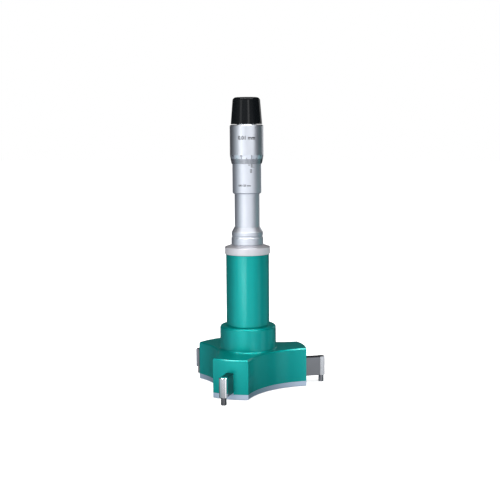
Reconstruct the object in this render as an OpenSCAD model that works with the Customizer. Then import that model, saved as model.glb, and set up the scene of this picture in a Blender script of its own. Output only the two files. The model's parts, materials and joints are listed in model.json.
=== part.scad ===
// Three-point inside micrometer, standing upright on its three foot pins.
// Sizes are in mm. +Z is up, the measuring axis is Z and z = 0 is the underside of the base plate.
// The front arm points along -Y, the right arm to +X and +Y, the left arm to -X and +Y.
// A 45 degree cone turns each mm of spindle feed into a mm of travel of every jaw.

/* [Range] */
// Bore diameter that the measuring tips are set to
reading = 120; // [100:0.5:125]
// Smallest bore diameter of the range
range_min = 100; // [99:0.5:102]
// Largest bore diameter of the range
range_max = 125; // [123:0.5:126]

/* [Head] */
// Radius of the arms' ends
head_r = 44; // [43.5:0.5:46]
// Thickness of the base plate
plate_t = 3.8; // [3.4:0.2:5]
// Height of the arms above the base plate
arm_h = 25.1; // [24:0.5:28]
// Radius of the scallops between the arms
scallop_r = 56.5; // [52:0.5:62]
// Closest distance from a scallop to the axis
scallop_in = 24.2; // [23:0.2:26]
// Radius of the hub on top of the arms
hub_r = 21; // [20:0.2:22]
// Height of the hub above the arms
hub_h = 17.8; // [15:0.2:20]
// Width of the chamfers along the arms' top edges
edge_w = 0.9; // [0.5:0.1:1.2]
// Radius of the hub's rounded top edge
hub_edge = 1.6; // [1:0.1:2.6]
// Radius of the fillet where the hub meets the arms
hub_fillet = 1.4; // [0.8:0.1:1.8]

/* [Jaws] */
// Width of a blade and its tip
blade_w = 5.5; // [4.8:0.1:6]
// Height of a blade
blade_h = 14.5; // [12:0.5:16]
// Height of a blade's underside above the base plate
blade_lift = 1.1; // [0.8:0.1:1.4]
// Chamfer along the edges of a blade and its tip
blade_chamfer = 0.3; // [0.1:0.1:0.5]
// Radius of a tip's measuring face
face_r = 4.5; // [3:0.1:8]
// Thickness of a tip, from the flat that it is brazed to
tip_t = 4; // [3.2:0.1:4.8]
// Radius of the foot pin under a tip
foot_r = 2; // [1.6:0.1:2.4]
// Drop of the foot pins below the base plate
foot_drop = 0.5; // [0.3:0.1:1]
// Distance from the axis to a spring peg
peg_x = 31.5; // [30:0.5:32]
// Radius of a spring peg
peg_r = 1.6; // [1.2:0.1:1.8]

/* [Cone and push rod] */
// Radius of the cone's small end
cone_small_r = 3; // [2.5:0.1:3.4]
// Radius of the cone's large end
cone_large_r = 18; // [17:0.1:18.4]
// Height of the guiding land above the flank of the cone
cone_land = 3.5; // [2.5:0.5:4.5]
// Radius of the push rod
rod_r = 3.4; // [3:0.1:3.5]
// Radius of the thrust ball
ball_r = 2.6; // [2.2:0.1:2.7]

/* [Handle] */
// Radius of the handle tube
tube_r = 16.1; // [15.5:0.1:17]
// Length of the handle tube between the hub and the collar
tube_h = 53.85; // [50:0.05:80]
// Radius of the collar on the handle tube
collar_r = 16.9; // [16.2:0.1:18]
// Height of the collar
collar_h = 7; // [5:0.1:9]
// Rise of the collar's sloped top
collar_rise = 1.5; // [0.8:0.1:2]

/* [Micrometer head] */
// Radius of the union nut
nut_r = 11.9; // [11.6:0.1:13]
// Height of the union nut
nut_h = 13.2; // [12.5:0.1:18]
// Radius of the neck above the union nut
neck_r = 9.3; // [9.1:0.1:9.5]
// Length of the neck between the union nut and the sleeve
neck_h = 24.8; // [15:0.5:40]
// Radius of the graduated sleeve
sleeve_r = 10.75; // [10.6:0.05:11]
// Length of sleeve in sight below the thimble at the largest reading
sleeve_show = 19.65; // [12:0.05:26]
// Radius of the thimble
thimble_r = 12.45; // [12:0.05:13.5]
// Length of the thimble
thimble_h = 28.6; // [26:0.1:34]
// Height of the graduated bevel at the lower edge of the thimble
bevel_h = 6.3; // [4:0.1:8]

/* [Ratchet] */
// Radius of the cap at its lower edge
cap_r = 11.65; // [11.5:0.05:12.4]
// Taper of the cap's side, as the loss of radius over its height
cap_taper = 1.4; // [0.3:0.05:1.6]
// Height of the cap
cap_h = 19.6; // [18.5:0.1:24]
// Radius of the cap's top edge
cap_edge = 2.8; // [1.5:0.1:3]
// Number of ratchet teeth
teeth = 12; // [8:4:12]

/* [Fits] */
// Radial clearance of pieces that are fixed to each other
fit = 0.02; // [0.01:0.01:0.04]
// Radial clearance of pieces that turn or slide in each other
run = 0.05; // [0.03:0.01:0.08]

/* [Hidden] */
$fn = 96;

// Moving pieces stand this far above, or inside of, their place at the largest reading
lift = (range_max - reading) / 2;
stroke = (range_max - range_min) / 2;
// Travel that is used up between the smallest reading and the set one
spent = stroke - lift;

// Angles of the arms about Z
FRONT = -90;
RIGHT = 30;
LEFT = 150;
ARMS = [FRONT, RIGHT, LEFT];

// Heights of the fixed pieces, from the base plate up
plate_top = plate_t;
arm_top = plate_top + arm_h;
hub_top = arm_top + hub_h;
tube_top = hub_top + tube_h;
collar_top = tube_top + collar_h;
nut_top = collar_top + nut_h;
sleeve_bottom = nut_top + neck_h;

// Base plate: a recess for the tip of the cone, tongues in the jaw slots, and its screws
recess_floor = 1.2;
recess_r = cone_small_r + 2.6;
tongue_top = plate_top + blade_lift - run;
tongue_w = blade_w - 0.1;
screw_x = 0.75 * head_r;
screw_y = blade_w / 2 + 5.55;
screw_r = 1.5;
screw_head_r = 2.85;
screw_head_h = 1.35;
screw_sink = 0.1;
screw_end = plate_top + 6.5;
peg_bottom = 1.6;

// Measuring cone, with the flank at 45 degrees
cone_bottom = recess_floor + 0.8 + lift;
cone_flank_top = cone_bottom + cone_large_r - cone_small_r;
cone_top = cone_flank_top + cone_land;
cone_gap = 0.04;

// Jaws. Lengths are along the arm, from the axis
blade_bottom = plate_top + blade_lift;
blade_top = blade_bottom + blade_h;
slot_w = blade_w + 2 * run;
tip_r = blade_w / 2;
tip_x = reading / 2 - tip_r;
blade_out = reading / 2 - tip_t;
blade_in = tip_r / tan(60) + 1 + spent;
notch_h = 5;
notch_in = blade_in + 2.9;
notch_out = peg_x + peg_r + 0.4 + spent;
spring_z = blade_bottom + notch_h / 2;
peg_top = blade_bottom + notch_h - 0.5;

// Chambers of the head body
chamber_r = cone_large_r + run;
chamber_top = cone_top + spent + 0.6;
roof_t = 4.4;
socket_floor = chamber_top + roof_t;
socket_r = tube_r - 2.5;

// Guide bush and its key
bush_r = 6.5;
bush_bore = rod_r + run;
bush_flange_r = 8.8;
bush_flange_top = socket_floor + 2.2;
bush_neck_r = 5.2;
bush_top = bush_flange_top + 10.8;
key_r = 1;
key_depth = 0.8;
key_z = bush_top - 4;

// Handle and collar
spigot_bore = socket_r - 3.9;
tube_bore = tube_r - 3.6;
collar_spigot_l = 10.4;
collar_bottom = tube_top - collar_spigot_l;
shank_r = neck_r - 1.33;
nose_r = nut_r - 1.7;
nose_top = collar_top + 5.9;

// Barrel
barrel_bottom = collar_bottom + 2;
flange_top = nose_top + 2.4;
guide_bore = 3.73;
guide_top = nose_top;
clear_bore = 4.9;
screw_nut_r = 6.8;

// Thimble, spindle and what they close over
thimble_bottom = sleeve_bottom + sleeve_show + lift;
thimble_top = thimble_bottom + thimble_h;
thimble_bore = sleeve_r + 0.13;
thimble_edge_r = thimble_bore + 0.42;
thimble_roof = thimble_top - 2.8;
thimble_chamfer = 0.9;
spindle_flange_t = 1.6;
barrel_top = thimble_roof - lift - spindle_flange_t - 0.5;
sleeve_top = barrel_top - 5.6;
adjuster_r = sleeve_r - 0.55;
screw_nut_bottom = barrel_top - 20.6;
thread_r = 4.55;
thread_bottom = screw_nut_bottom - stroke - 6.5 + lift;
plain_r = guide_bore - run;
stub_r = 3.4;
stub_top = thimble_top + 3;

// Push rod, thrust ball and return spring
rod_top = barrel_bottom - 4.4 + lift;
rod_spigot_r = 2.4;
rod_spigot_bottom = cone_top - 8;
cup_depth = 1.6;
ball_z = rod_top - cup_depth + ball_r + 0.01;
spindle_bottom = ball_z + ball_r + 0.03;
rod_collar_r = 8;
rod_collar_t = 2.3;
rod_collar_top = collar_bottom - 0.8 - spent;

// Ratchet
cap_bottom = thimble_top + 0.4;
cap_top = cap_bottom + cap_h;
lip_t = 1.2;
groove_r = 7.4;
drum_r = groove_r + 0.9;
drum_flange = cap_bottom + lip_t + 0.2;
drum_top = drum_flange + 2.7;
pocket_r = 4.3;
tooth_w = 1.3;
tooth_h = 0.7;
tooth_gap = 0.05;
clutch_r = 8.5;
clutch_bottom = drum_top + tooth_gap;
clutch_top = clutch_bottom + 3;
clutch_hole = pocket_r + 0.3;
ear_r = 9.5;
ear_w = 2.2;
cap_bore = clutch_r + 0.3;
cap_ceiling = cap_top - 3.5;

// Colours of the pieces
GREEN = [0.04, 0.55, 0.52];
CHROME = [0.82, 0.84, 0.87];
STEEL = [0.6, 0.62, 0.65];
PALE = [0.83, 0.84, 0.88];
BLACK = [0.08, 0.08, 0.09];
BRONZE = [0.7, 0.52, 0.28];
CARBIDE = [0.42, 0.43, 0.45];

// Node to draw, or "all"

// A ring about Z
module ring(r_out, r_in, z0, z1) {
    difference() {
        translate([0, 0, z0]) cylinder(r = r_out, h = z1 - z0);
        translate([0, 0, z0 - 1]) cylinder(r = r_in, h = z1 - z0 + 2);
    }
}

// A solid turned about Z from [radius, height] points
module turned(profile) {
    rotate_extrude() polygon(profile);
}

// Children drawn along +X, set on one arm
module on_arm(angle) {
    rotate([0, 0, angle]) children();
}

// Half section of a disc with a rounded top edge
module disc_section(r, z0, z1, edge) {
    translate([0, z0]) square([r, z1 - z0 - edge]);
    translate([0, z0]) square([r - edge, z1 - z0]);
    translate([r - edge, z1 - edge]) circle(edge);
}

// Half section of a scallop's cutter, which leaves a chamfered top edge
module scallop_section(h, edge) {
    polygon([
        [0, -1], [scallop_r, -1], [scallop_r, h - edge], [scallop_r + edge + 1, h + 1], [0, h + 1]
    ]);
}

// The three-armed outline from z = 0 up to h. Its chamfer is narrower on the ends than on the scallops,
// so that no four faces meet in one corner
module outline_solid(h, edge) {
    end = 0.75 * edge;
    difference() {
        turned([[0, 0], [head_r, 0], [head_r, h - end], [head_r - end, h], [0, h]]);
        for (angle = ARMS)
            rotate([0, 0, angle + 60])
                translate([scallop_in + scallop_r, 0, 0])
                    rotate_extrude() scallop_section(h, edge);
    }
}

// Places of the two screws of each arm
module at_screws() {
    for (angle = ARMS, side = [-1, 1])
        on_arm(angle) translate([screw_x, side * screw_y, 0]) children();
}

// Hub with a rounded top edge and a fillet at its foot, which meets the arms just short of tangent
module hub() {
    rotate_extrude() {
        disc_section(hub_r, plate_top + 1, hub_top, hub_edge);
        difference() {
            translate([hub_r - 1, arm_top - 1]) square([1 + hub_fillet, 1 + hub_fillet]);
            translate([hub_r + hub_fillet, arm_top + 0.93 * hub_fillet]) circle(hub_fillet);
        }
    }
}

// Cast head with the cone's chamber, the jaw slots and the socket of the handle tube
module head_body() color(GREEN) {
    difference() {
        union() {
            translate([0, 0, plate_top]) outline_solid(arm_h, edge_w);
            hub();
        }
        turned([
            [0, plate_top - 1], [chamber_r, plate_top - 1], [chamber_r, chamber_top],
            [bush_r + fit, chamber_top], [bush_r + fit, socket_floor],
            [socket_r, socket_floor], [socket_r, hub_top + 1], [0, hub_top + 1]
        ]);
        for (angle = ARMS)
            on_arm(angle) translate([0, -slot_w / 2, plate_top - 1])
                cube([head_r + 2, slot_w, 1 + blade_top + run - plate_top]);
        at_screws() translate([0, 0, plate_top - 1])
            cylinder(r = screw_r + fit, h = 1 + screw_end + 1 - plate_top);
    }
}

// Plate that closes the jaw slots from below
module base_plate() color(STEEL) {
    difference() {
        union() {
            translate([0, 0, plate_t]) rotate([0, 180, 0]) outline_solid(plate_t, 0.4);
            for (angle = ARMS)
                on_arm(angle) translate([chamber_r + 1.2, -tongue_w / 2, plate_t / 2])
                    cube([head_r - chamber_r - 1.7, tongue_w, tongue_top - plate_t / 2]);
        }
        translate([0, 0, recess_floor]) cylinder(r = recess_r, h = plate_t);
        at_screws() turned([
            [0, -1], [screw_head_r + fit, -1], [screw_head_r + fit, screw_sink + 0.25],
            [screw_r + fit, screw_sink + 0.25 + screw_head_h],
            [screw_r + fit, plate_t + 1], [0, plate_t + 1]
        ]);
        for (angle = ARMS)
            on_arm(angle) translate([peg_x, 0, peg_bottom]) cylinder(r = peg_r + fit, h = tongue_top);
    }
}

// Countersunk screws with a hexagon recess, sunk a little below the plate's face
module base_screws() color(STEEL) {
    at_screws() difference() {
        turned([
            [0, screw_sink], [screw_head_r, screw_sink], [screw_head_r, screw_sink + 0.25],
            [screw_r, screw_sink + 0.25 + screw_head_h], [screw_r, screw_end], [0, screw_end]
        ]);
        translate([0, 0, -1]) cylinder(r = 1.15, h = 1 + screw_sink + 1.3, $fn = 6);
    }
}

// Dowels that the jaw springs push against
module spring_pegs() color(STEEL) {
    for (angle = ARMS)
        on_arm(angle) translate([peg_x, 0, peg_bottom]) cylinder(r = peg_r, h = peg_top - peg_bottom);
}

// Blade with a sloping contact face for the cone and a notch below for its spring
module jaw_blade() color(STEEL) {
    contact = cone_gap + cone_small_r - cone_bottom;
    intersection() {
        rotate([90, 0, 0]) translate([0, 0, -blade_w / 2]) linear_extrude(blade_w) polygon([
            [blade_in, blade_bottom], [notch_in, blade_bottom], [notch_in, blade_bottom + notch_h],
            [notch_out, blade_bottom + notch_h], [notch_out, blade_bottom], [blade_out, blade_bottom],
            [blade_out, blade_top], [blade_top + contact, blade_top],
            [blade_in, blade_in - contact]
        ]);
        rotate([90, 0, 90]) linear_extrude(head_r + range_max) polygon([
            [-tip_r + blade_chamfer, blade_bottom], [tip_r - blade_chamfer, blade_bottom],
            [tip_r, blade_bottom + blade_chamfer], [tip_r, blade_top - blade_chamfer],
            [tip_r - blade_chamfer, blade_top], [-tip_r + blade_chamfer, blade_top],
            [-tip_r, blade_top - blade_chamfer], [-tip_r, blade_bottom + blade_chamfer]
        ]);
    }
}

// Carbide tip with a rounded measuring face, brazed to the blade's flat, with the foot pin below
module measuring_tip() color(CARBIDE) {
    difference() {
        union() {
            intersection() {
                translate([reading / 2 - face_r, 0, 0]) turned([
                    [0, blade_bottom], [face_r - blade_chamfer, blade_bottom],
                    [face_r, blade_bottom + blade_chamfer], [face_r, blade_top - blade_chamfer],
                    [face_r - blade_chamfer, blade_top], [0, blade_top]
                ]);
                translate([blade_out, -tip_r, blade_bottom - 1]) cube([tip_t + 1, blade_w, blade_h + 2]);
            }
            translate([tip_x, 0, 0]) turned([
                [0, -foot_drop], [foot_r - blade_chamfer, -foot_drop], [foot_r, blade_chamfer - foot_drop],
                [foot_r, blade_bottom + 1], [0, blade_bottom + 1]
            ]);
        }
        translate([blade_out - tip_t, -blade_w, blade_bottom]) cube([tip_t, 2 * blade_w, blade_h]);
    }
}

// Height of a spring's wire after u turns: one closed turn at each end and an even pitch between
function coil_rise(u, turns, l, wire) =
    let (closed = 1.08 * wire)
    u < 1 ? closed * u
    : u > turns - 1 ? l - closed * (turns - u)
    : closed + (l - 2 * closed) * (u - 1) / (turns - 2);

// Compression spring along Z, from z0 to z1
module coil(mean_r, wire, turns, z0, z1, steps, sides) {
    count = turns * steps;
    points = [
        for (i = [0 : count], j = [0 : sides - 1])
            let (
                a = 360 * i / steps,
                b = 360 * j / sides,
                r = mean_r + wire / 2 * cos(b),
                z = z0 + wire / 2 + coil_rise(i / steps, turns, z1 - z0 - wire, wire)
            )
            [r * cos(a), r * sin(a), z + wire / 2 * sin(b)]
    ];
    skin = [
        for (i = [0 : count - 1], j = [0 : sides - 1])
            let (k = (j + 1) % sides)
            each [
                [i * sides + j, i * sides + k, (i + 1) * sides + k],
                [i * sides + j, (i + 1) * sides + k, (i + 1) * sides + j]
            ]
    ];
    caps = [
        [for (j = [sides - 1 : -1 : 0]) j],
        [for (j = [0 : sides - 1]) count * sides + j]
    ];
    polyhedron(points, concat(skin, caps));
}

// Spring in a blade's notch, between the blade and its peg
module jaw_spring() color(STEEL) {
    translate([0, 0, spring_z]) rotate([0, 90, 0])
        coil(1.75, 0.6, 9, notch_in + fit, peg_x - peg_r - fit, 14, 6);
}

// Cone that spreads the jaws, with a land that guides it in the head
module measuring_cone() color(STEEL) {
    turned([
        [0, cone_bottom], [cone_small_r, cone_bottom], [cone_large_r, cone_flank_top],
        [cone_large_r, cone_top], [rod_spigot_r + fit, cone_top],
        [rod_spigot_r + fit, rod_spigot_bottom], [0, rod_spigot_bottom]
    ]);
}

// Rod from the cone up to the spindle, with a keyway and a cup for the ball
module push_rod() color(STEEL) {
    difference() {
        turned([
            [0, rod_spigot_bottom + fit], [rod_spigot_r, rod_spigot_bottom + fit],
            [rod_spigot_r, cone_top + fit], [rod_r, cone_top + fit], [rod_r, rod_top],
            [ball_r + run, rod_top], [ball_r + run, rod_top - cup_depth], [0, rod_top - cup_depth]
        ]);
        translate([rod_r - key_depth, -key_r - run, key_z - 2 - spent])
            cube([key_depth + 1, 2 * (key_r + run), stroke + 4]);
    }
}

// Collar on the push rod that the return spring lifts
module spring_collar() color(STEEL) {
    ring(rod_collar_r, rod_r + fit, rod_collar_top - rod_collar_t, rod_collar_top);
}

// Ball between the push rod and the turning spindle
module thrust_ball() color(STEEL) {
    translate([0, 0, ball_z]) sphere(ball_r);
}

// Spring that lifts the push rod
module return_spring() color(STEEL) {
    coil(6.8, 1.1, 9, bush_flange_top + fit, rod_collar_top - rod_collar_t - fit, 18, 8);
}

// Flanged bronze bush in the roof of the head, with a hole for the key
module guide_bush() color(BRONZE) {
    difference() {
        turned([
            [bush_bore, chamber_top + 0.1], [bush_r, chamber_top + 0.1], [bush_r, socket_floor + fit],
            [bush_flange_r, socket_floor + fit], [bush_flange_r, bush_flange_top],
            [bush_neck_r, bush_flange_top], [bush_neck_r, bush_top], [bush_bore, bush_top]
        ]);
        translate([0, 0, key_z]) rotate([0, 90, 0]) cylinder(r = key_r + fit, h = bush_r);
    }
}

// Pin in the bush that runs in the rod's keyway
module key_pin() color(STEEL) {
    translate([rod_r - key_depth + 0.15, 0, key_z]) rotate([0, 90, 0])
        cylinder(r = key_r, h = bush_neck_r - rod_r + key_depth - 0.15);
}

// Handle tube with a spigot in the hub
module handle_tube() color(GREEN) {
    turned([
        [spigot_bore, socket_floor + fit], [socket_r - fit, socket_floor + fit],
        [socket_r - fit, hub_top + fit], [tube_r - 0.25, hub_top + fit], [tube_r, hub_top + 0.25 + fit],
        [tube_r, tube_top - 0.25], [tube_r - 0.25, tube_top], [tube_bore, tube_top],
        [tube_bore, hub_top + 1.5], [spigot_bore, hub_top + 1.5]
    ]);
}

// Bevelled collar that closes the tube and carries the micrometer head on its nose
module handle_collar() color(PALE) {
    turned([
        [shank_r + fit, collar_bottom], [tube_bore - fit, collar_bottom],
        [tube_bore - fit, tube_top + fit], [collar_r - 0.4, tube_top + fit],
        [collar_r, tube_top + 0.4 + fit], [collar_r, collar_top - collar_rise - 0.2],
        [collar_r - 0.2, collar_top - collar_rise], [nut_r + 0.3, collar_top],
        [nose_r, collar_top], [nose_r, nose_top], [shank_r + fit, nose_top]
    ]);
}

// Nut that clamps the barrel's flange to the nose of the collar
module union_nut() color(CHROME) {
    groove_z = collar_top + 0.47 * nut_h;
    turned([
        [nose_r + fit, collar_top + fit], [nut_r - 0.4, collar_top + fit], [nut_r, collar_top + 0.4 + fit],
        [nut_r, groove_z - 1], [nut_r - 0.5, groove_z - 0.5], [nut_r - 0.5, groove_z + 0.5],
        [nut_r - 0.2, groove_z + 1], [nut_r - 0.2, nut_top - 3.7], [nut_r - 0.6, nut_top - 3.1],
        [neck_r + 0.3, nut_top], [neck_r + fit, nut_top],
        [neck_r + fit, flange_top + fit], [nose_r + fit, flange_top + fit]
    ]);
}

// Fixed barrel: shank in the collar, clamped flange, neck, and the seat of the screw nut
module barrel() color(CHROME) {
    difference() {
        turned([
            [guide_bore, barrel_bottom], [shank_r, barrel_bottom], [shank_r, nose_top + fit],
            [nose_r, nose_top + fit], [nose_r, flange_top], [neck_r, flange_top],
            [neck_r, sleeve_top + 0.4], [shank_r, sleeve_top + 0.4], [shank_r, barrel_top],
            [screw_nut_r, barrel_top], [screw_nut_r, screw_nut_bottom], [clear_bore, screw_nut_bottom],
            [clear_bore, guide_top], [guide_bore, guide_top]
        ]);
        wear_slits();
    }
}

// Slits that let the adjusting nut close the screw nut on the thread
module wear_slits() {
    for (angle = [0, 120, 240])
        rotate([0, 0, angle]) translate([thread_r, -0.4, sleeve_top - 5])
            cube([neck_r, 0.8, barrel_top - sleeve_top + 6]);
}

// Sleeve that carries the scale, with a hole at the back for a hook spanner
module graduated_sleeve() color(CHROME) {
    difference() {
        turned([
            [neck_r + fit, sleeve_bottom], [sleeve_r - 0.8, sleeve_bottom],
            [sleeve_r, sleeve_bottom + 0.8], [sleeve_r, sleeve_top], [neck_r + fit, sleeve_top]
        ]);
        translate([0, 0, sleeve_bottom + 4]) rotate([-90, 0, 0]) cylinder(r = 0.8, h = 2 * sleeve_r);
    }
}

// Bronze nut of the measuring screw
module thread_nut() color(BRONZE) {
    difference() {
        ring(screw_nut_r - fit, thread_r + run, screw_nut_bottom + fit, barrel_top);
        wear_slits();
    }
}

// Nut on the barrel's split end, with two holes for a pin spanner
module adjusting_nut() color(STEEL) {
    difference() {
        ring(adjuster_r, shank_r + fit, sleeve_top + 0.8, barrel_top - 0.8);
        for (side = [-1, 1])
            translate([side * (adjuster_r + shank_r) / 2, 0, barrel_top - 2.5]) cylinder(r = 0.6, h = 3);
    }
}

// Measuring screw, with a flange and a stub that carry the thimble and the ratchet
module spindle() color(STEEL) {
    turned([
        [0, spindle_bottom], [plain_r - 0.5, spindle_bottom], [plain_r, spindle_bottom + 0.5],
        [plain_r, thread_bottom - 0.8], [thread_r, thread_bottom],
        [thread_r, thimble_roof - spindle_flange_t], [thread_r + 1.1, thimble_roof - spindle_flange_t],
        [thread_r + 1.1, thimble_roof - fit], [stub_r, thimble_roof - fit], [stub_r, stub_top],
        [1.45, stub_top], [1.45, stub_top - 9], [0, stub_top - 9]
    ]);
}

// Thimble with a chamfered top and a bevel at its reading edge
module thimble() color(CHROME) {
    turned([
        [thimble_bore, thimble_bottom], [thimble_edge_r, thimble_bottom],
        [thimble_r, thimble_bottom + bevel_h], [thimble_r, thimble_top - thimble_chamfer],
        [thimble_r - thimble_chamfer, thimble_top], [stub_r + fit, thimble_top],
        [stub_r + fit, thimble_roof], [thimble_bore, thimble_roof]
    ]);
}

// Places of the ratchet teeth, each along +X
module at_teeth() {
    for (i = [0 : teeth - 1])
        rotate([0, 0, 360 * i / teeth]) children();
}

// Saw tooth that points down from z = 0, along +X from r0 to r1, with room above it
module saw_tooth(r0, r1, w, h, room) {
    translate([r0, 0, 0]) rotate([90, 0, 90]) linear_extrude(r1 - r0)
        polygon([[-w / 2, 0], [w / 2, -h], [w / 2, room], [-w / 2, room]]);
}

// Drum on the spindle's stub, with saw-tooth grooves on top and a groove that holds the cap
module ratchet_drum() color(STEEL) {
    difference() {
        turned([
            [stub_r + fit, thimble_top + fit], [groove_r, thimble_top + fit], [groove_r, drum_flange],
            [drum_r, drum_flange], [drum_r, drum_top], [pocket_r, drum_top], [pocket_r, stub_top],
            [stub_r + fit, stub_top]
        ]);
        translate([0, 0, drum_top]) at_teeth() saw_tooth(pocket_r - 1, drum_r + 1, tooth_w, tooth_h, 1);
    }
}

// Screw that holds the drum on the spindle
module ratchet_screw() color(STEEL) {
    difference() {
        turned([
            [0, stub_top - 8], [1.43, stub_top - 8], [1.43, stub_top + fit], [pocket_r - 0.4, stub_top + fit],
            [pocket_r - 0.4, stub_top + 1.6], [pocket_r - 0.7, stub_top + 1.9], [0, stub_top + 1.9]
        ]);
        translate([-pocket_r, -0.45, stub_top + 1]) cube([2 * pocket_r, 0.9, 2]);
    }
}

// Sprung clutch ring: teeth below for the drum, and ears that slide in the cap
module ratchet_clutch() color(STEEL) {
    difference() {
        union() {
            translate([0, 0, clutch_bottom]) cylinder(r = clutch_r, h = clutch_top - clutch_bottom);
            for (angle = [0 : 90 : 270])
                rotate([0, 0, angle]) translate([0, -ear_w / 2, clutch_bottom])
                    cube([ear_r, ear_w, clutch_top - clutch_bottom]);
            translate([0, 0, clutch_bottom]) at_teeth()
                saw_tooth(pocket_r, drum_r - 0.2, tooth_w - 0.2, tooth_h - 0.1, 1);
        }
        translate([0, 0, drum_top - 2]) cylinder(r = clutch_hole, h = clutch_top - drum_top + 3);
    }
}

// Spring that presses the clutch on the drum
module ratchet_spring() color(STEEL) {
    coil(6.4, 0.9, 4, clutch_top + fit, cap_ceiling - fit, 18, 8);
}

// Cap with a lip that snaps under the drum, and keyways for the clutch's ears
module ratchet_cap() color(BLACK) {
    lean = atan(cap_taper / cap_h);
    edge_x = cap_r - cap_taper - cap_edge;
    edge_z = cap_top - cap_edge;
    difference() {
        rotate_extrude() {
            polygon([
                [0, cap_bottom], [cap_r - 0.3, cap_bottom], [cap_r, cap_bottom + 0.3],
                [edge_x + cap_edge * cos(lean), edge_z + cap_edge * sin(lean)], [edge_x, edge_z],
                [edge_x, cap_top], [0, cap_top]
            ]);
            translate([edge_x, edge_z]) circle(cap_edge);
        }
        turned([
            [0, cap_bottom - 1], [groove_r + 0.1, cap_bottom - 1], [groove_r + 0.1, cap_bottom + lip_t],
            [cap_bore, cap_bottom + lip_t], [cap_bore, cap_ceiling], [0, cap_ceiling]
        ]);
        for (angle = [0 : 90 : 270])
            rotate([0, 0, angle]) translate([0, -ear_w / 2 - 0.1, cap_bottom + lip_t])
                cube([ear_r + 0.3, ear_w + 0.2, cap_ceiling - cap_bottom - lip_t]);
    }
}

module jaw_blade_front() on_arm(FRONT) jaw_blade();
module jaw_blade_right() on_arm(RIGHT) jaw_blade();
module jaw_blade_left() on_arm(LEFT) jaw_blade();
module measuring_tip_front() on_arm(FRONT) measuring_tip();
module measuring_tip_right() on_arm(RIGHT) measuring_tip();
module measuring_tip_left() on_arm(LEFT) measuring_tip();
module jaw_spring_front() on_arm(FRONT) jaw_spring();
module jaw_spring_right() on_arm(RIGHT) jaw_spring();
module jaw_spring_left() on_arm(LEFT) jaw_spring();

head_body();
base_plate();
base_screws();
spring_pegs();
jaw_blade_front();
jaw_blade_right();
jaw_blade_left();
measuring_tip_front();
measuring_tip_right();
measuring_tip_left();
jaw_spring_front();
jaw_spring_right();
jaw_spring_left();
measuring_cone();
push_rod();
spring_collar();
thrust_ball();
return_spring();
guide_bush();
key_pin();
handle_tube();
handle_collar();
union_nut();
barrel();
graduated_sleeve();
thread_nut();
adjusting_nut();
spindle();
thimble();
ratchet_drum();
ratchet_screw();
ratchet_clutch();
ratchet_spring();
ratchet_cap();
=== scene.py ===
"""Looks of the three-point inside micrometer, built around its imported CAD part.

The CAD nodes keep their shape and get their materials here. The scale, numbers and labels are thin
printed pieces, wrapped on the sleeve and the thimble. Print is sized in millimetres, which MM turns
into the frame's metres. The studio is in metres.
"""

import json
import math

import bmesh
import bpy
from mathutils import Matrix, Vector


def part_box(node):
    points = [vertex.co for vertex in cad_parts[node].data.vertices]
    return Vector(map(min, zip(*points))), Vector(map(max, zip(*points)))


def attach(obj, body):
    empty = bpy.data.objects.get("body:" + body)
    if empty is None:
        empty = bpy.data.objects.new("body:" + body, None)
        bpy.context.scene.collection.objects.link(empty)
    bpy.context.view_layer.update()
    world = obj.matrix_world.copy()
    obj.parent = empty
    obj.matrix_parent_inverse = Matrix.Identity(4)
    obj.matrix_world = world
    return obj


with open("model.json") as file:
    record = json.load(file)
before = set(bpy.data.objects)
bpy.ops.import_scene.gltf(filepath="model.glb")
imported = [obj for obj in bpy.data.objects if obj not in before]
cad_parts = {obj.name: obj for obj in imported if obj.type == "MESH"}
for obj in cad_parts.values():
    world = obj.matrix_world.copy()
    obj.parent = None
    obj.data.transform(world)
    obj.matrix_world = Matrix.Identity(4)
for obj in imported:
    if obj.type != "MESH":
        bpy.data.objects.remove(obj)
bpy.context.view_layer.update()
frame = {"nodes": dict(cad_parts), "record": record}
nodes = frame["nodes"]

MM = 0.001

# Instrument: range in mm of bore diameter, what the part is set to, and mm of diameter to a mm of feed
RANGE_MIN, RANGE_MAX, READING = 100, 125, 120
DIAMETER_PER_FEED = 2
# Directions about Z in degrees: of the scale's datum line, and of the camera
DATUM_ANGLE = -55.0
FRONT_ANGLE = -72.0

# Depth in mm of two changes: a finish to just below the slope of the collar's top, and a blade's top
# painted dark as shade to below its chamfer
COLLAR_TOP_H = 1.7
BLADE_TOP_H = 0.5
# Height of the thimble's bevel and radius of its lower edge in mm, which no node's box shows
BEVEL_H = 6.3
BEVEL_EDGE_R = 11.3


# Materials

# Features to a metre of the slow marks on turned metal and on grained skins
STAIN_SCALE = 60.0
HANDLING_SCALE = 35.0
# What a noise swings about
NOISE_MIDDLE = 0.5
# Depth in mm that a bump height of 1 stands for
BUMP_DEPTH = 0.02


def new_group(name, inputs, outputs):
    """An empty shader node group with float inputs {name: default} and outputs [(name, socket type)]."""
    group = bpy.data.node_groups.new(name, "ShaderNodeTree")
    for label, default in inputs.items():
        socket = group.interface.new_socket(label, in_out="INPUT", socket_type="NodeSocketFloat")
        socket.default_value = default
    for label, kind in outputs:
        group.interface.new_socket(label, in_out="OUTPUT", socket_type=kind)
    return group, group.nodes.new("NodeGroupInput"), group.nodes.new("NodeGroupOutput")


def add_node(tree, kind, **settings):
    """A node with properties set by keyword."""
    node = tree.nodes.new(kind)
    for key, value in settings.items():
        setattr(node, key, value)
    return node


def feed(tree, socket, value):
    """Sets an input socket to a number, or links it to an output."""
    if isinstance(value, (int, float)):
        socket.default_value = value
    else:
        tree.links.new(value, socket)


def add_math(tree, operation, a, b):
    """A math node on two sockets or numbers. Returns its output."""
    node = add_node(tree, "ShaderNodeMath", operation=operation)
    feed(tree, node.inputs[0], a)
    feed(tree, node.inputs[1], b)
    return node.outputs[0]


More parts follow.
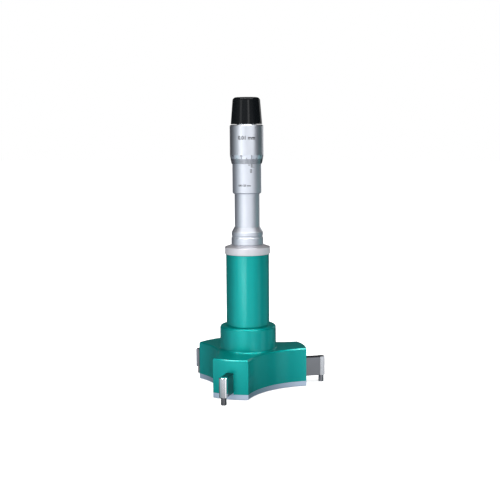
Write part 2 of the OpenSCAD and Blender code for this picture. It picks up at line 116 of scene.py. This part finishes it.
def add_range(tree, value, low, high, at_low, at_high):
    """A value mapped from low and high to at_low and at_high, and held at the ends. Returns its output."""
    node = add_node(tree, "ShaderNodeMapRange")
    tree.links.new(value, node.inputs["Value"])
    for label, number in (("From Min", low), ("From Max", high), ("To Min", at_low), ("To Max", at_high)):
        node.inputs[label].default_value = number
    return node.outputs["Result"]


def add_noise(tree, place, scale, detail):
    """A noise over a place, with scale as its features to a metre. Returns its output."""
    node = add_node(tree, "ShaderNodeTexNoise")
    feed(tree, node.inputs["Scale"], scale)
    node.inputs["Detail"].default_value = detail
    tree.links.new(place, node.inputs["Vector"])
    return node.outputs["Fac"]


def add_swing(tree, value, noise, amount):
    """A value that a noise moves up and down, by the amount from end to end. Returns its output."""
    swing = add_math(tree, "MULTIPLY", add_math(tree, "SUBTRACT", noise, NOISE_MIDDLE), amount)
    return add_math(tree, "ADD", value, swing)


def turned_group():
    """Fine rings around Z that a lathe leaves, and slow stains: a bump height and a roughness."""
    group, inputs, outputs = new_group(
        "Turned metal",
        {"Rings per metre": 9000.0, "Roughness": 0.25, "Stain": 0.05},
        [("Height", "NodeSocketFloat"), ("Roughness", "NodeSocketFloat")],
    )
    place = add_node(group, "ShaderNodeTexCoord").outputs["Object"]
    split = add_node(group, "ShaderNodeSeparateXYZ")
    group.links.new(place, split.inputs[0])
    rings = add_node(group, "ShaderNodeTexNoise", noise_dimensions="1D")
    rings.inputs["Scale"].default_value = 1.0
    rings.inputs["Detail"].default_value = 3.0
    turns = add_math(group, "MULTIPLY", split.outputs["Z"], inputs.outputs["Rings per metre"])
    group.links.new(turns, rings.inputs["W"])
    stain = add_noise(group, place, STAIN_SCALE, detail=4.0)
    roughness = add_swing(group, inputs.outputs["Roughness"], stain, inputs.outputs["Stain"])
    group.links.new(roughness, outputs.inputs["Roughness"])
    group.links.new(rings.outputs["Fac"], outputs.inputs["Height"])
    return group


def skin_group():
    """Soft grain of a sprayed, blasted or ground skin, and marks of use: a bump height and a roughness."""
    group, inputs, outputs = new_group(
        "Grained skin",
        {"Grain per metre": 900.0, "Roughness": 0.3, "Spread": 0.06},
        [("Height", "NodeSocketFloat"), ("Roughness", "NodeSocketFloat")],
    )
    place = add_node(group, "ShaderNodeTexCoord").outputs["Object"]
    grain = add_noise(group, place, inputs.outputs["Grain per metre"], detail=3.0)
    handled = add_noise(group, place, HANDLING_SCALE, detail=5.0)
    roughness = add_swing(group, inputs.outputs["Roughness"], handled, inputs.outputs["Spread"])
    group.links.new(roughness, outputs.inputs["Roughness"])
    group.links.new(grain, outputs.inputs["Height"])
    return group


TURNED = turned_group()
SKIN = skin_group()


def make_material(name, colour, metallic, group, settings, bump, shine=0.5, coat=0.0, coat_roughness=0.1):
    """A material whose roughness and bump come from one of the groups, with its inputs in settings."""
    material = bpy.data.materials.new(name)
    material.use_nodes = True
    tree = material.node_tree
    surface = tree.nodes["Principled BSDF"]
    surface.inputs["Base Color"].default_value = (*colour, 1.0)
    surface.inputs["Metallic"].default_value = metallic
    surface.inputs["Specular IOR Level"].default_value = shine
    surface.inputs["Coat Weight"].default_value = coat
    surface.inputs["Coat Roughness"].default_value = coat_roughness
    texture = add_node(tree, "ShaderNodeGroup", node_tree=group)
    for label, value in settings.items():
        texture.inputs[label].default_value = value
    tree.links.new(texture.outputs["Roughness"], surface.inputs["Roughness"])
    relief = add_node(tree, "ShaderNodeBump")
    relief.inputs["Strength"].default_value = bump
    relief.inputs["Distance"].default_value = BUMP_DEPTH * MM
    tree.links.new(texture.outputs["Height"], relief.inputs["Height"])
    tree.links.new(relief.outputs["Normal"], surface.inputs["Normal"])
    material.diffuse_color = (*colour, 1.0)
    return material


def change_below(material, height, label, value):
    """Gives an input of a material's surface another value below a height."""
    tree = material.node_tree
    socket = tree.nodes["Principled BSDF"].inputs[label]
    place = add_node(tree, "ShaderNodeTexCoord")
    split = add_node(tree, "ShaderNodeSeparateXYZ")
    tree.links.new(place.outputs["Object"], split.inputs[0])
    mix = add_node(tree, "ShaderNodeMix", data_type="RGBA" if label == "Base Color" else "FLOAT")
    mix.inputs["A"].default_value = value
    mix.inputs["B"].default_value = socket.default_value
    tree.links.new(add_math(tree, "GREATER_THAN", split.outputs["Z"], height), mix.inputs["Factor"])
    tree.links.new(mix.outputs["Result"], socket)


def make_ink(name, colour, roughness):
    """A plain non-metal for printed marks."""
    material = bpy.data.materials.new(name)
    material.use_nodes = True
    surface = material.node_tree.nodes["Principled BSDF"]
    surface.inputs["Base Color"].default_value = (*colour, 1.0)
    surface.inputs["Roughness"].default_value = roughness
    material.diffuse_color = (*colour, 1.0)
    return material


GREEN = make_material(
    "green_enamel", (0.0, 0.362, 0.332), 0.75, SKIN,
    {"Grain per metre": 700.0, "Roughness": 0.42, "Spread": 0.06}, bump=0.06,
    shine=0.0, coat=0.4, coat_roughness=0.15,
)
CHROME = make_material(
    "satin_chrome", (0.655, 0.68, 0.73), 1.0, TURNED,
    {"Rings per metre": 9000.0, "Roughness": 0.47, "Stain": 0.06}, bump=0.25,
)
THIMBLE = make_material(
    "fine_chrome", (0.64, 0.665, 0.71), 1.0, TURNED,
    {"Rings per metre": 9000.0, "Roughness": 0.36, "Stain": 0.06}, bump=0.20,
)
PLATE = make_material(
    "plate_steel", (0.64, 0.76, 0.90), 1.0, SKIN,
    {"Grain per metre": 2500.0, "Roughness": 0.55, "Spread": 0.08}, bump=0.10,
)
# The near-black base colour is painted shade, kept only on the blades' tops
JAW = make_material(
    "ground_steel_painted_shade_top", (0.02, 0.02, 0.022), 1.0, SKIN,
    {"Grain per metre": 3500.0, "Roughness": 0.33, "Spread": 0.10}, bump=0.12,
)
# A blade's top is near black as painted shade, and its sides are ground bright steel
BLADE_SIDE_COLOUR = (0.215, 0.22, 0.23, 1.0)
blade_low, blade_high = (corner.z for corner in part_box("jaw_blade_front"))
change_below(JAW, blade_high - BLADE_TOP_H * MM, "Base Color", BLADE_SIDE_COLOUR)
CARBIDE = make_material(
    "carbide", (0.58, 0.585, 0.59), 1.0, SKIN,
    {"Grain per metre": 6000.0, "Roughness": 0.14, "Spread": 0.05}, bump=0.05,
)
# The foot pin under a tip is painted darker than the carbide, as painted shade near the floor
FOOT_PIN_SHADE_COLOUR = (0.20, 0.20, 0.21, 1.0)
change_below(CARBIDE, blade_low, "Base Color", FOOT_PIN_SHADE_COLOUR)
PALE = make_material(
    "pale_aluminium", (0.66, 0.65, 0.68), 1.0, SKIN,
    {"Grain per metre": 5000.0, "Roughness": 0.45, "Spread": 0.08}, bump=0.20,
)
# The collar is blasted to a dull skin below its turned slope
BLASTED_METALLIC = 0.4
change_below(PALE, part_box("union_nut")[0].z - COLLAR_TOP_H * MM, "Metallic", BLASTED_METALLIC)
BLACK = make_material(
    "black_plastic", (0.004, 0.005, 0.006), 0.0, SKIN,
    {"Grain per metre": 1200.0, "Roughness": 0.12, "Spread": 0.06}, bump=0.04, shine=0.14,
)
STEEL = make_material(
    "turned_steel", (0.56, 0.57, 0.60), 1.0, TURNED,
    {"Rings per metre": 5000.0, "Roughness": 0.30, "Stain": 0.10}, bump=0.30,
)
SPRING = make_material(
    "spring_steel", (0.38, 0.38, 0.40), 1.0, SKIN,
    {"Grain per metre": 4000.0, "Roughness": 0.30, "Spread": 0.08}, bump=0.08,
)
BRONZE = make_material(
    "bronze", (0.66, 0.43, 0.20), 1.0, TURNED,
    {"Rings per metre": 5000.0, "Roughness": 0.32, "Stain": 0.12}, bump=0.30,
)
INK = make_ink("scale_ink", (0.012, 0.012, 0.014), 0.55)

SLOT_MATERIALS = {
    "green_paint": GREEN,
    "satin_chrome": CHROME,
    "plate_steel": PLATE,
    "jaw_steel": JAW,
    "carbide": CARBIDE,
    "pale_aluminium": PALE,
    "hidden_steel": STEEL,
    "spring_steel": SPRING,
    "bronze": BRONZE,
    "black_plastic": BLACK,
}
# Nodes with a finish of their own
NODE_MATERIALS = {"thimble": THIMBLE}

for part in frame["record"]["subparts"]:
    mesh = nodes[part["node"]].data
    mesh.materials.clear()
    mesh.materials.append(NODE_MATERIALS.get(part["node"], SLOT_MATERIALS[part["material_slot"]]))


# Printed marks, wrapped on turned surfaces. All sizes are in mm and all turns in degrees.

# Sleeve: the datum line, and how far it goes past the scale
DATUM_W, DATUM_PAST = 0.28, 0.4
# Lines from it to the right, one to a mm of diameter, and longer ones at every fifth
LINE_W, LINE_L, FIFTH_LINE_L = 0.2, 1.5, 2.4
# Numbers at every fifth line, beside the datum line
NUMBERED = 5
NUMBER_SIZE, NUMBER_TURN = 1.9, -7.5
# The last number, below the end of the datum line
LAST_NUMBER_SIZE, LAST_NUMBER_DROP = 2.1, 2.8
# The range, near the sleeve's lower end
RANGE_SIZE, RANGE_TURN, RANGE_RISE = 1.9, -11.0, 6.3

# Thimble: divisions of a turn, and ticks from the bevel's lower edge up
DIVISIONS = 100
TICK_W, TICK_START = 0.38, 0.05
TICK_L, FIFTH_TICK_L, TENTH_TICK_L = 3.6, 4.4, 5.0
# Numbers above the tenth ticks
TENTH_SIZE, TENTH_RISE = 1.6, 5.75
# What a division stands for
DIVISION_SIZE, DIVISION_RISE = 3.7, 18.9


class Print:
    """Ink on one turned surface: flat shapes in mm, x to the right and y up, wrapped about Z."""

    # Height of the ink over the surface, and the longest edge that is left to bend
    LIFT = 0.02
    LONGEST = 0.5
    # Rounds of splitting that bring edges down to that
    ROUNDS = 4
    # Boldness of letters as a share of their size, and the steps in a letter's curves
    BOLD = 0.03
    CURVE_STEPS = 3
    # Corners of letters that are nearer than this are one
    WELD = 1e-5

    def __init__(self, radius_at):
        self.radius_at = radius_at
        self.mesh = bmesh.new()

    def wrap(self, shape, angle, height, turned=False):
        """Adds a flat bmesh with its origin at an angle in degrees and a height in mm."""
        bmesh.ops.triangulate(shape, faces=shape.faces[:])
        for _ in range(self.ROUNDS):
            long_edges = [e for e in shape.edges if e.calc_length() > self.LONGEST]
            if not long_edges:
                break
            bmesh.ops.subdivide_edges(shape, edges=long_edges, cuts=1)
            bmesh.ops.triangulate(shape, faces=shape.faces[:])
        copies = {}
        for vert in shape.verts:
            x, y = (-vert.co.y, vert.co.x) if turned else (vert.co.x, vert.co.y)
            z = height + y
            radius = self.radius_at(z) + self.LIFT
            theta = math.radians(angle) + x / radius
            copies[vert] = self.mesh.verts.new(
                (radius * math.cos(theta) * MM, radius * math.sin(theta) * MM, z * MM)
            )
        for face in shape.faces:
            corners = [copies[v] for v in face.verts]
            if not self.mesh.faces.get(corners):
                self.mesh.faces.new(corners)
        shape.free()

    def bar(self, x0, y0, x1, y1, angle, height):
        """A rectangle."""
        shape = bmesh.new()
        shape.faces.new([shape.verts.new((x, y, 0)) for x, y in ((x0, y0), (x1, y0), (x1, y1), (x0, y1))])
        self.wrap(shape, angle, height)

    def text(self, words, size, angle, height, turned=False):
        """Words centred on the place, with capitals about 0.7 of size high."""
        curve = bpy.data.curves.new("words", "FONT")
        curve.body = words
        curve.size = size
        curve.offset = self.BOLD * size
        curve.align_x = "CENTER"
        curve.align_y = "CENTER"
        curve.resolution_u = self.CURVE_STEPS
        holder = bpy.data.objects.new("words", curve)
        shape = bmesh.new()
        shape.from_mesh(bpy.data.meshes.new_from_object(holder))
        bpy.data.objects.remove(holder)
        bmesh.ops.remove_doubles(shape, verts=shape.verts[:], dist=self.WELD)
        self.wrap(shape, angle, height, turned)

    def finish(self, name, body):
        """The ink as an object that rides on a body."""
        mesh = bpy.data.meshes.new(name)
        bmesh.ops.recalc_face_normals(self.mesh, faces=self.mesh.faces[:])
        self.mesh.to_mesh(mesh)
        self.mesh.free()
        mesh.materials.append(INK)
        ink = bpy.data.objects.new(name, mesh)
        bpy.context.scene.collection.objects.link(ink)
        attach(ink, body)


def foot_and_radius(name):
    """Lowest z of a turned CAD node and its outer radius, in mm."""
    low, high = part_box(name)
    return low.z / MM, high.x / MM


sleeve_low, sleeve_r = foot_and_radius("graduated_sleeve")
thimble_low, thimble_r = foot_and_radius("thimble")


def reading_height(diameter):
    """Height of the thimble's edge at a reading, in mm."""
    return thimble_low + (READING - diameter) / DIAMETER_PER_FEED


def bevel_radius(z):
    """Radius of the thimble's outside at a height, in mm."""
    share = min(max((z - thimble_low) / BEVEL_H, 0.0), 1.0)
    return BEVEL_EDGE_R + (thimble_r - BEVEL_EDGE_R) * share


def print_sleeve():
    """Datum line, one line per mm of diameter, numbers on every fifth, and the range."""
    ink = Print(lambda z: sleeve_r)
    end = reading_height(RANGE_MAX)
    top = reading_height(RANGE_MIN)
    ink.bar(-DATUM_W / 2, 0, DATUM_W / 2, top - end + DATUM_PAST, DATUM_ANGLE, end)
    for diameter in range(RANGE_MIN, RANGE_MAX + 1):
        fifth = diameter % NUMBERED == 0
        length = FIFTH_LINE_L if fifth else LINE_L
        ink.bar(0, -LINE_W / 2, length, LINE_W / 2, DATUM_ANGLE, reading_height(diameter))
        if fifth and diameter < RANGE_MAX:
            place = DATUM_ANGLE + NUMBER_TURN
            ink.text(str(diameter), NUMBER_SIZE, place, reading_height(diameter), turned=True)
    ink.text(str(RANGE_MAX), LAST_NUMBER_SIZE, DATUM_ANGLE, end - LAST_NUMBER_DROP, turned=True)
    label = f"{RANGE_MIN}-{RANGE_MAX} mm"
    ink.text(label, RANGE_SIZE, FRONT_ANGLE + RANGE_TURN, sleeve_low + RANGE_RISE)
    ink.finish("sleeve_scale", "frame")


def print_thimble():
    """A hundred divisions on the bevel, numbers on every tenth, and what a division stands for."""
    ink = Print(bevel_radius)
    for division in range(DIVISIONS):
        angle = DATUM_ANGLE + 360 / DIVISIONS * division
        tenth = division % 10 == 0
        length = TENTH_TICK_L if tenth else FIFTH_TICK_L if division % 5 == 0 else TICK_L
        ink.bar(-TICK_W / 2, TICK_START, TICK_W / 2, length, angle, thimble_low)
        if tenth:
            ink.text(str(division), TENTH_SIZE, angle, thimble_low + TENTH_RISE)
    ink.text("0.01 mm", DIVISION_SIZE, FRONT_ANGLE, thimble_low + DIVISION_RISE)
    ink.finish("thimble_scale", "thimble")


print_sleeve()
print_thimble()


# Studio: camera, floor and light, in metres

# Camera as fitted to the photograph: lens and sensor in mm, place, and angles in radians
LENS_MM, SENSOR_MM = 71.18, 36.0
CAMERA_PLACE = Vector((0.2258, -0.6994, 0.1890))
CAMERA_TURN, CAMERA_PITCH, CAMERA_ROLL = 0.3097, 0.1162, -0.0076

# Floor: half its size, its colour, and its glow to the camera from close by the part to far away
FLOOR_HALF = 6.0
PAPER_COLOUR = (0.9, 0.9, 0.9, 1.0)
GLOW_NEAR, GLOW_FAR = 0.1, 0.7
GLOW_LOW, GLOW_FULL = 0.72, 1.0

# The part's shade on the table: half its size, its middle in front of the part, its depth under the
# floor, how far from the middle it is deepest and where it ends, and the light that is left in it
SHADE_HALF = 0.5
SHADE_Y = -0.04
SHADE_DEPTH = 1.0 * MM
SHADE_INNER, SHADE_OUTER = 0.03, 0.13
SHADE_LIGHT = 0.42

# What the part sees around it: share of the way from front (0) to back (1), and its light
SURROUND = (
    (0.0, (0.85, 0.86, 0.88)),
    (0.15, (0.60, 0.61, 0.63)),
    (0.30, (0.28, 0.285, 0.30)),
    (0.46, (0.08, 0.082, 0.086)),
    (0.60, (0.04, 0.041, 0.043)),
    (1.0, (0.02, 0.021, 0.022)),
)
# Bearing of its brightest side, in degrees to the right of the camera
SURROUND_BEARING = -15.0
# Light that the table adds below the horizon, from one z of a direction to its full strength at another
TABLE_GLOW = (0.33, 0.36, 0.42, 1.0)
TABLE_TOP, TABLE_FULL = -0.05, -0.20
# Shares of the way to the back between which the table's light falls, and what is left of it there
TABLE_NEAR, TABLE_FAR, TABLE_LEFT = 0.40, 0.75, 0.2
# White backdrop in reflections: shares of the way to the back where it starts and is full, and the z of
# a direction, up or down, where it fades and ends
BACKDROP_START, BACKDROP_FULL = 0.88, 0.95
BACKDROP_FADE, BACKDROP_END = 0.03, 0.07

# Distance of the softboxes from the axis, and the tints of their light
SOFTBOX_DISTANCE = 1.1
WHITE = (1.0, 1.0, 1.0)
COOL = (0.4, 1.0, 1.0)


def camera_matrix(location, turn, pitch, roll):
    """Camera pose from its place, the direction it looks in about Z, and its pitch and roll."""
    level = math.cos(pitch)
    forward = Vector((-math.sin(turn) * level, math.cos(turn) * level, -math.sin(pitch)))
    right = Vector((math.cos(turn), math.sin(turn), 0.0))
    up = right.cross(forward)
    rolled_right = math.cos(roll) * right + math.sin(roll) * up
    rolled_up = -math.sin(roll) * right + math.cos(roll) * up
    pose = Matrix((rolled_right, rolled_up, -forward)).transposed().to_4x4()
    pose.translation = location
    return pose


def make_camera():
    """The camera that takes the photograph's view."""
    lens = bpy.data.cameras.new("camera")
    lens.sensor_width = SENSOR_MM
    lens.lens = LENS_MM
    camera = bpy.data.objects.new("camera", lens)
    camera.matrix_world = camera_matrix(CAMERA_PLACE, CAMERA_TURN, CAMERA_PITCH, CAMERA_ROLL)
    bpy.context.scene.collection.objects.link(camera)
    bpy.context.scene.camera = camera


def new_sheet(name, half, place):
    """A level square with an empty material. Returns the object and the material's node tree."""
    material = bpy.data.materials.new(name)
    material.use_nodes = True
    material.node_tree.nodes.clear()
    mesh = bpy.data.meshes.new(name)
    corners = [(-half, -half, 0), (half, -half, 0), (half, half, 0), (-half, half, 0)]
    mesh.from_pydata(corners, [], [(0, 1, 2, 3)])
    mesh.materials.append(material)
    sheet = bpy.data.objects.new(name, mesh)
    sheet.location = place
    bpy.context.scene.collection.objects.link(sheet)
    return sheet, material.node_tree


def add_distance(tree):
    """Distance from an object's origin. Returns its output."""
    place = add_node(tree, "ShaderNodeTexCoord")
    far = add_node(tree, "ShaderNodeVectorMath", operation="LENGTH")
    tree.links.new(place.outputs["Object"], far.inputs[0])
    return far.outputs["Value"]


def make_floor(z):
    """White floor that takes the part's shadow and stays white to the camera. From below it isn't seen."""
    floor, tree = new_sheet("floor", FLOOR_HALF, (0.0, 0.0, z))
    floor.visible_glossy = False
    floor.visible_shadow = False
    paper = add_node(tree, "ShaderNodeBsdfDiffuse")
    paper.inputs["Color"].default_value = PAPER_COLOUR
    lift = add_range(tree, add_distance(tree), GLOW_NEAR, GLOW_FAR, GLOW_LOW, GLOW_FULL)
    rays = add_node(tree, "ShaderNodeLightPath")
    glow = add_node(tree, "ShaderNodeEmission")
    shown = add_math(tree, "MULTIPLY", rays.outputs["Is Camera Ray"], lift)
    tree.links.new(shown, glow.inputs["Strength"])
    both = add_node(tree, "ShaderNodeAddShader")
    tree.links.new(paper.outputs[0], both.inputs[0])
    tree.links.new(glow.outputs[0], both.inputs[1])
    side = add_node(tree, "ShaderNodeNewGeometry")
    clear = add_node(tree, "ShaderNodeBsdfTransparent")
    choose = add_node(tree, "ShaderNodeMixShader")
    tree.links.new(side.outputs["Backfacing"], choose.inputs["Fac"])
    tree.links.new(both.outputs[0], choose.inputs[1])
    tree.links.new(clear.outputs[0], choose.inputs[2])
    output = add_node(tree, "ShaderNodeOutputMaterial")
    tree.links.new(choose.outputs[0], output.inputs["Surface"])


def make_table_shade(z):
    """The part's own shade on the table, which dims what reaches its lower faces from below.
    The camera doesn't see it."""
    shade, tree = new_sheet("table_shade", SHADE_HALF, (0.0, SHADE_Y, z))
    shade.visible_camera = False
    shade.visible_diffuse = False
    clear = add_node(tree, "ShaderNodeBsdfTransparent")
    left = add_range(tree, add_distance(tree), SHADE_INNER, SHADE_OUTER, SHADE_LIGHT, 1.0)
    tree.links.new(left, clear.inputs["Color"])
    output = add_node(tree, "ShaderNodeOutputMaterial")
    tree.links.new(clear.outputs[0], output.inputs["Surface"])


def make_world():
    """White to the camera. To the part: light in front of it, dark to the sides and behind, with the
    table's glow below and, in reflections, a level band of the white backdrop behind."""
    world = bpy.data.worlds.new("studio")
    world.use_nodes = True
    bpy.context.scene.world = world
    tree = world.node_tree
    tree.nodes.clear()
    place = add_node(tree, "ShaderNodeTexCoord").outputs["Generated"]
    split = add_node(tree, "ShaderNodeSeparateXYZ")
    tree.links.new(place, split.inputs[0])
    z = split.outputs["Z"]

    # Share of the way from front to back, and the light there
    away = add_node(tree, "ShaderNodeVectorMath", operation="DOT_PRODUCT")
    angle = math.radians(FRONT_ANGLE + SURROUND_BEARING)
    away.inputs[1].default_value = (-math.cos(angle), -math.sin(angle), 0.0)
    tree.links.new(place, away.inputs[0])
    share = add_math(tree, "MULTIPLY", add_math(tree, "ADD", away.outputs["Value"], 1.0), 0.5)
    ramp = add_node(tree, "ShaderNodeValToRGB")
    points = ramp.color_ramp.elements
    points[0].position, points[1].position = SURROUND[0][0], SURROUND[-1][0]
    for position, _ in SURROUND[1:-1]:
        points.new(position)
    for point, (_, colour) in zip(points, SURROUND):
        point.color = (*colour, 1.0)
    tree.links.new(share, ramp.inputs["Fac"])

    # The table's glow on top of it
    below = add_range(tree, z, TABLE_TOP, TABLE_FULL, 0.0, 1.0)
    before = add_range(tree, share, TABLE_NEAR, TABLE_FAR, 1.0, TABLE_LEFT)
    table = add_node(tree, "ShaderNodeMix", data_type="RGBA", blend_type="ADD")
    tree.links.new(add_math(tree, "MULTIPLY", below, before), table.inputs["Factor"])
    tree.links.new(ramp.outputs["Color"], table.inputs["A"])
    table.inputs["B"].default_value = TABLE_GLOW
    lit = add_node(tree, "ShaderNodeBackground")
    tree.links.new(table.outputs["Result"], lit.inputs["Color"])

    # White for the camera, and for reflections of the backdrop
    rays = add_node(tree, "ShaderNodeLightPath")
    mirrored = add_math(tree, "MAXIMUM", rays.outputs["Is Glossy Ray"], rays.outputs["Is Transmission Ray"])
    behind = add_range(tree, share, BACKDROP_START, BACKDROP_FULL, 0.0, 1.0)
    level = add_range(tree, add_math(tree, "ABSOLUTE", z, 0.0), BACKDROP_FADE, BACKDROP_END, 1.0, 0.0)
    backdrop = add_math(tree, "MULTIPLY", mirrored, add_math(tree, "MULTIPLY", behind, level))
    seen = add_node(tree, "ShaderNodeBackground")
    seen.inputs["Color"].default_value = (*WHITE, 1.0)
    choose = add_node(tree, "ShaderNodeMixShader")
    white = add_math(tree, "MAXIMUM", rays.outputs["Is Camera Ray"], backdrop)
    tree.links.new(white, choose.inputs["Fac"])
    tree.links.new(lit.outputs[0], choose.inputs[1])
    tree.links.new(seen.outputs[0], choose.inputs[2])
    output = add_node(tree, "ShaderNodeOutputWorld")
    tree.links.new(choose.outputs[0], output.inputs["Surface"])


def add_softbox(
    name, bearing, low, high, width, radiance, distance=SOFTBOX_DISTANCE, aim_z=None, colour=WHITE
):
    """A rectangular light from a low to a high z that faces the axis, level or at a height to aim at.
    Bearing is in degrees to the right of the camera, and the power gives the radiance whatever the size."""
    light = bpy.data.lights.new(name, "AREA")
    light.shape = "RECTANGLE"
    light.color = colour
    light.size = width
    light.size_y = high - low
    light.energy = math.pi * width * (high - low) * radiance
    box = bpy.data.objects.new(name, light)
    angle = math.radians(FRONT_ANGLE + bearing)
    middle = (low + high) / 2
    box.location = (distance * math.cos(angle), distance * math.sin(angle), middle)
    target = Vector((0, 0, middle if aim_z is None else aim_z))
    box.rotation_euler = (target - box.location).to_track_quat("-Z", "Y").to_euler()
    bpy.context.scene.collection.objects.link(box)


make_camera()
floor_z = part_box("measuring_tip_front")[0].z
make_floor(floor_z)
make_table_shade(floor_z - SHADE_DEPTH)
make_world()
# Main lights at the left and right, and their upper parts, which show in the cap
add_softbox("left_softbox", -43, low=-0.12, high=0.15, width=0.36, radiance=1.4)
add_softbox("left_high_softbox", -36, low=0.16, high=0.36, width=0.60, radiance=0.52)
add_softbox("left_cap_light", -44, low=0.36, high=0.80, width=0.32, radiance=2.0)
add_softbox("right_softbox", 41, low=0.17, high=0.36, width=0.54, radiance=2.0)
add_softbox("right_cap_light", 16, low=0.36, high=0.95, width=0.26, radiance=3.6)
# Fills for the sides of the head and the tube, and a rim on the thimble
add_softbox("left_fill", -72, low=-0.40, high=0.0, width=0.34, radiance=0.48, colour=COOL)
add_softbox("right_fill", 64, low=-0.40, high=-0.04, width=0.36, radiance=0.60)
add_softbox("right_back_fill", 106, low=-0.42, high=0.03, width=0.66, radiance=0.50, colour=COOL)
add_softbox("right_rim", 138, low=0.24, high=0.54, width=0.40, radiance=1.1)
# The highlight on the tube and the head's front, and light on the tips
add_softbox("low_softbox", -20, low=-0.13, high=-0.03, width=0.50, radiance=5.4)
add_softbox("foot_light", 21, low=-0.40, high=-0.22, width=0.32, radiance=1.9)
# From above and behind
add_softbox("overhead", 0, low=1.13, high=1.31, width=1.60, radiance=14.0, distance=0.20, aim_z=0.05)
add_softbox("back_light", 180, low=0.75, high=1.10, width=0.50, radiance=1.5, distance=0.8, aim_z=0.1)

bpy.context.scene.view_settings.view_transform = "Standard"
